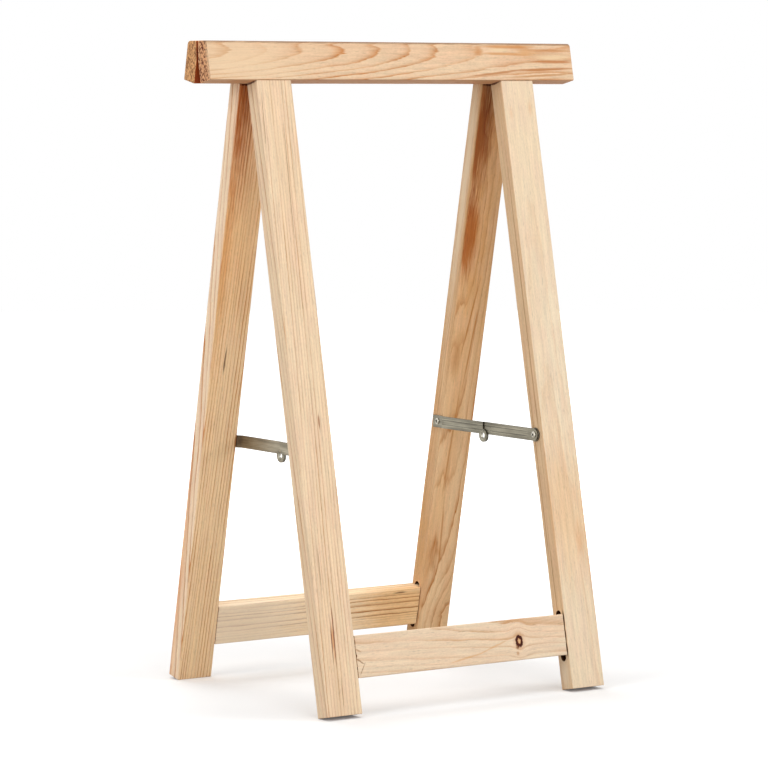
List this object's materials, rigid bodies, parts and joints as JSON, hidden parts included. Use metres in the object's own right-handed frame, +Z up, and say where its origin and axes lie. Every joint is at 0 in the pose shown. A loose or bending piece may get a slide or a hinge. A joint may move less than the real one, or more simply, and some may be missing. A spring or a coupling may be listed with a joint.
{
  "type": "folding sawhorse",
  "caption": "Folding timber trestle: two sloping leg frames with stretchers, hinged along a split top beam and held open by jointed steel stays that fold upwards.",
  "frame": {"origin": "on the floor, under the middle of the open trestle", "axes": "+X along the top beam to the right, +Y from the front frame to the rear frame, +Z up"},
  "size_m": [0.504, 0.349, 0.75],
  "materials": {
    "beam_pine": "planed, unfinished",
    "leg_pine": "planed, unfinished",
    "stretcher_pine": "planed, unfinished",
    "hinge_zinc": "zinc plated, satin",
    "stay_zinc": "zinc plated, satin",
    "eyelet_zinc": "zinc plated, bright",
    "screw_zinc": "zinc plated, satin"
  },
  "bodies": {
    "front_frame": {"beam_front": "beam_pine", "leg_front_left": "leg_pine", "leg_front_right": "leg_pine", "stretcher_front": "stretcher_pine", "hinge_left_leaf_front": "hinge_zinc", "hinge_left_pin": "hinge_zinc", "hinge_left_screws_front": "screw_zinc", "hinge_right_leaf_front": "hinge_zinc", "hinge_right_pin": "hinge_zinc", "hinge_right_screws_front": "screw_zinc", "stay_left_washer": "stay_zinc", "stay_left_screw_front": "screw_zinc", "stay_right_washer": "stay_zinc", "stay_right_screw_front": "screw_zinc"},
    "rear_frame": {"beam_rear": "beam_pine", "leg_rear_left": "leg_pine", "leg_rear_right": "leg_pine", "stretcher_rear": "stretcher_pine", "hinge_left_leaf_rear": "hinge_zinc", "hinge_left_screws_rear": "screw_zinc", "hinge_right_leaf_rear": "hinge_zinc", "hinge_right_screws_rear": "screw_zinc", "stay_left_screw_rear": "screw_zinc", "stay_right_screw_rear": "screw_zinc"},
    "left_stay_front_link": {"stay_left_link_front": "stay_zinc", "stay_left_eyelet_front": "eyelet_zinc"},
    "left_stay_rear_link": {"stay_left_link_rear": "stay_zinc", "stay_left_eyelet_rear": "eyelet_zinc"},
    "right_stay_front_link": {"stay_right_link_front": "stay_zinc", "stay_right_eyelet_front": "eyelet_zinc"},
    "right_stay_rear_link": {"stay_right_link_rear": "stay_zinc", "stay_right_eyelet_rear": "eyelet_zinc"}
  },
  "joints": [
    {"name": "fold", "type": "hinge", "parent": "front_frame", "child": "rear_frame", "pos_m": [0, 0, 0.7275], "axis": [-1, 0, 0], "range_deg": [0, 23.5]},
    {"name": "left_stay_front_pivot", "type": "hinge", "parent": "front_frame", "child": "left_stay_front_link", "pos_m": [-0.1435, -0.10164, 0.286], "axis": [1, 0, 0], "range_deg": [0, 78.11]},
    {"name": "left_stay_rear_pivot", "type": "hinge", "parent": "rear_frame", "child": "left_stay_rear_link", "pos_m": [-0.1435, 0.10164, 0.286], "axis": [-1, 0, 0], "range_deg": [0, 78.11]},
    {"name": "right_stay_front_pivot", "type": "hinge", "parent": "front_frame", "child": "right_stay_front_link", "pos_m": [0.1435, -0.09997, 0.294], "axis": [1, 0, 0], "range_deg": [0, 78.11]},
    {"name": "right_stay_rear_pivot", "type": "hinge", "parent": "rear_frame", "child": "right_stay_rear_link", "pos_m": [0.1435, 0.09997, 0.294], "axis": [-1, 0, 0], "range_deg": [0, 78.11]}
  ],
  "couplings": [
    {"joint": "left_stay_front_pivot", "follows": "fold", "ratio": 3.3154},
    {"joint": "left_stay_rear_pivot", "follows": "fold", "ratio": 3.3154},
    {"joint": "right_stay_front_pivot", "follows": "fold", "ratio": 3.3152},
    {"joint": "right_stay_rear_pivot", "follows": "fold", "ratio": 3.3152}
  ]
}
